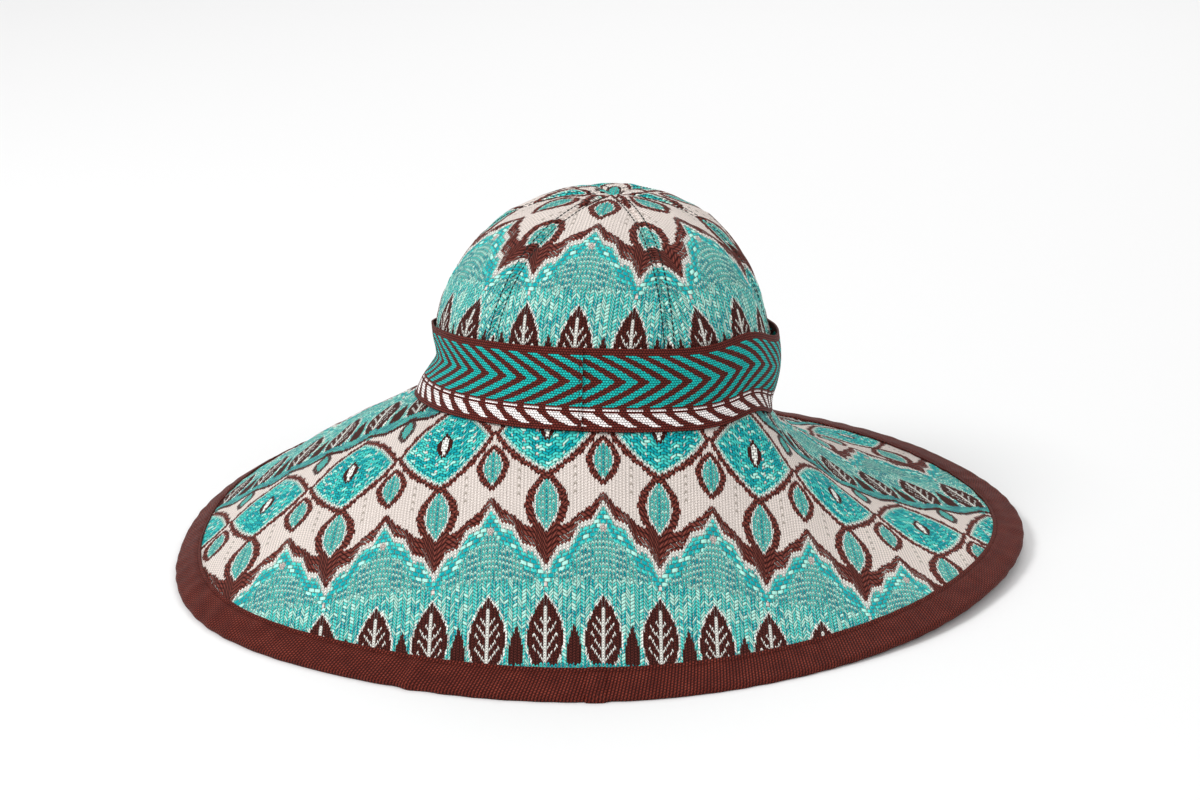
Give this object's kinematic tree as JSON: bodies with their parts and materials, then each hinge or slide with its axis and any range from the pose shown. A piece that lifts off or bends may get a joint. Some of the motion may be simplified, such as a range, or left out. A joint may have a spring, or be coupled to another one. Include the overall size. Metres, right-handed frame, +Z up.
{
  "type": "wide-brimmed knitted sun hat",
  "caption": "Wide-brimmed knitted sun hat with a gored round crown, a drooping brim, a woven chevron ribbon round the crown and a ribbon folded over the rim.",
  "frame": {"origin": "on the surface that the hat rests on, under the middle of its width and depth", "axes": "+Z up through the crown, -Y towards the side with the ribbon joins, which faces the camera in the picture, and +X to the right of that side, along the widest way"},
  "size_m": [0.4558, 0.4426, 0.193],
  "materials": {
    "knit": "soft patterned jacquard knit in turquoise, teal, brown and cream yarn",
    "chevron_ribbon": "woven ribbon with teal chevrons on brown and a strip of cream bars",
    "brown_ribbon": "finely ribbed reddish brown ribbon, matt with a slight sheen"
  },
  "bodies": {
    "root": {"crown_gore_1": "knit", "crown_gore_2": "knit", "crown_gore_3": "knit", "crown_gore_4": "knit", "crown_gore_5": "knit", "crown_gore_6": "knit", "brim": "knit", "brim_binding": "brown_ribbon", "hat_band": "chevron_ribbon"}
  },
  "joints": []
}
